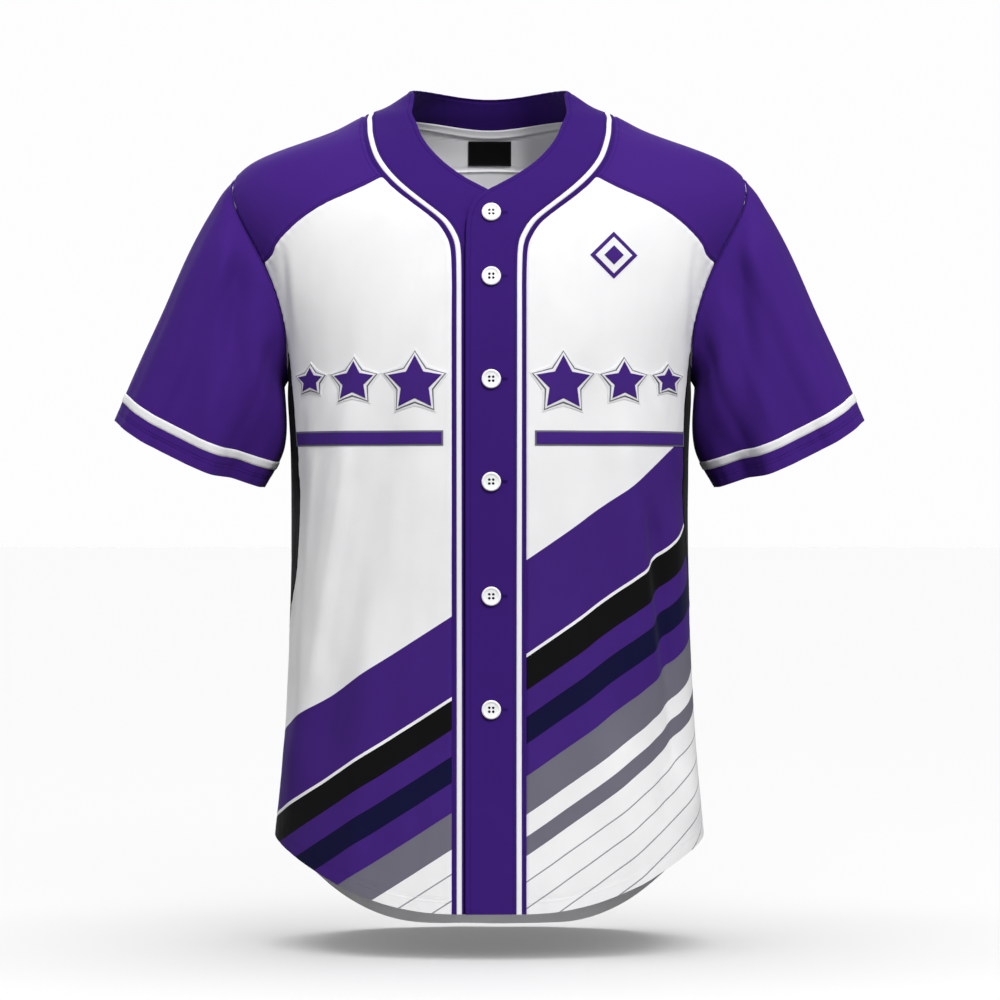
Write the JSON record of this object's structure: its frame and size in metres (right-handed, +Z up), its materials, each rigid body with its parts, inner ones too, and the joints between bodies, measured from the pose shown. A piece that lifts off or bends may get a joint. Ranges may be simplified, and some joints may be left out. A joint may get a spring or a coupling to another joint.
{
  "type": "baseball jersey",
  "caption": "Short-sleeved baseball jersey with a buttoned front band, shoulder yoke, side panels and a shirt-tail hem, filled out as worn and open at neck, cuffs and hem.",
  "frame": {"origin": "where the wearer's shoulders carry the shirt: on its middle line, level with the neck seam at the shoulders", "axes": "+Z up along the trunk, -Y out of the chest, +X towards the wearer's left"},
  "size_m": [0.712, 0.276, 0.8094],
  "materials": {
    "purple_cloth": "matte knit",
    "white_cloth": "matte knit",
    "black_cloth": "matte knit",
    "button_plastic": "polished"
  },
  "bodies": {
    "root": {"front_left": "white_cloth", "front_right": "white_cloth", "back": "white_cloth", "sleeve_stripe_left": "white_cloth", "sleeve_stripe_right": "white_cloth", "piping": "white_cloth", "neck_tape": "white_cloth", "sleeve_left": "purple_cloth", "sleeve_right": "purple_cloth", "yoke": "purple_cloth", "front_band": "purple_cloth", "side_panel_left": "black_cloth", "side_panel_right": "black_cloth", "neck_label": "black_cloth", "button_1": "button_plastic", "button_2": "button_plastic", "button_3": "button_plastic", "button_4": "button_plastic", "button_5": "button_plastic", "button_6": "button_plastic"}
  },
  "joints": []
}
